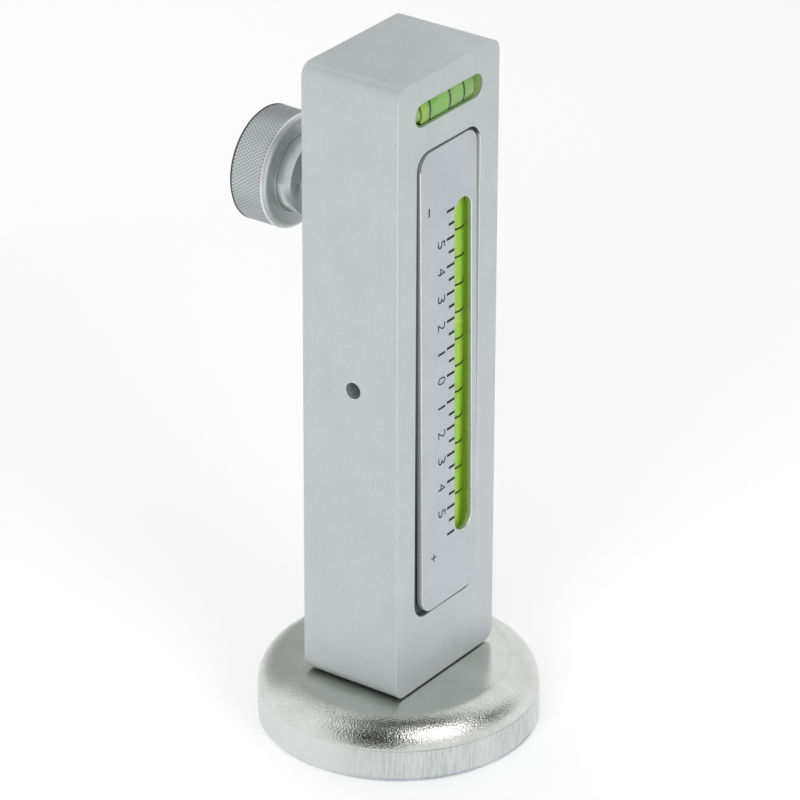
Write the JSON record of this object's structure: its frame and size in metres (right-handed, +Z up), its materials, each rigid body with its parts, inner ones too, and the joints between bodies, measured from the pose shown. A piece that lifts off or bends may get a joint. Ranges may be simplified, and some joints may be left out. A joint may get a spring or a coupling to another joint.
{
  "type": "camber caster gauge",
  "caption": "Wheel alignment gauge: aluminium block on a pot magnet, with a camber vial, a cross level and a caster vial tilted by a knurled screw.",
  "frame": {"origin": "centre of the magnet's resting face", "axes": "+Z up along the block, -Y out of the camber face, +Y out of the caster face towards the knob, +X to the right of someone facing the camber scale"},
  "size_m": [0.05, 0.0532, 0.1272],
  "materials": {
    "block": "matt bead-blasted, clear anodised",
    "plate": "satin, marks filled black",
    "vial": "clear acrylic tube",
    "liquid": "yellow-green spirit",
    "bubble": "gas bubble",
    "plug": "moulded end plug",
    "rocker": "milled, clear anodised",
    "pin_steel": "ground steel",
    "knob": "turned and diamond knurled, clear anodised",
    "black_steel": "black oxide",
    "brass": "turned",
    "spring_steel": "drawn wire",
    "washer": "fibre",
    "plated_cup": "satin plated steel, drawn",
    "ferrite": "ground ferrite",
    "potting": "cast resin",
    "pole": "turned steel",
    "ink": "black enamel in the marks, numbers and rings"
  },
  "bodies": {
    "block": {"body": "block", "scale_plate": "plate", "camber_vial": "vial", "camber_liquid": "liquid", "camber_plugs": "plug", "level_vial": "vial", "level_liquid": "liquid", "level_plugs": "plug", "pivot_pin": "pin_steel", "return_spring": "spring_steel", "base_washer": "washer", "magnet_cup": "plated_cup", "ring_magnet": "ferrite", "magnet_potting": "potting", "stud_pole": "pole"},
    "rocker": {"caster_rocker": "rocker", "caster_plate": "plate", "caster_vial": "vial", "caster_liquid": "liquid", "caster_plugs": "plug"},
    "thrust": {"thrust_washer": "brass"},
    "knob": {"adjusting_knob": "knob", "adjusting_screw": "pin_steel", "knob_grub_screw": "black_steel"},
    "camber_gas": {"camber_bubble": "bubble"},
    "level_gas": {"level_bubble": "bubble"},
    "caster_gas": {"caster_bubble": "bubble"}
  },
  "joints": [
    {"name": "knob_travel", "type": "slide", "parent": "block", "child": "thrust", "axis": [0, -1, 0], "range_m": [-0.00157, 0.00157], "deforming": ["return_spring"]},
    {"name": "knob_turn", "type": "hinge", "parent": "thrust", "child": "knob", "pos_m": [-0.0007, 0.0175, 0.0998], "axis": [0, -1, 0], "range_deg": [-810, 810]},
    {"name": "rocker_tilt", "type": "hinge", "parent": "block", "child": "rocker", "pos_m": [0, -0.0007, 0.0697], "axis": [1, 0, 0], "range_deg": [-3, 3]},
    {"name": "caster_bubble_travel", "type": "slide", "parent": "rocker", "child": "caster_gas", "axis": [0, 0, 1], "range_m": [-0.0156, 0.0156]},
    {"name": "camber_bubble_travel", "type": "slide", "parent": "block", "child": "camber_gas", "axis": [0, 0, 1], "range_m": [-0.0396, 0.0221], "stiffness_N_per_m": 2},
    {"name": "level_bubble_travel", "type": "slide", "parent": "block", "child": "level_gas", "axis": [1, 0, 0], "range_m": [-0.0064, 0.0012], "stiffness_N_per_m": 2}
  ],
  "couplings": [
    {"joint": "knob_turn", "follows": "knob_travel", "rad_per_m": 8976},
    {"joint": "rocker_tilt", "follows": "knob_travel", "rad_per_m": 33.238},
    {"joint": "caster_bubble_travel", "follows": "knob_travel", "ratio": -9.8075}
  ]
}
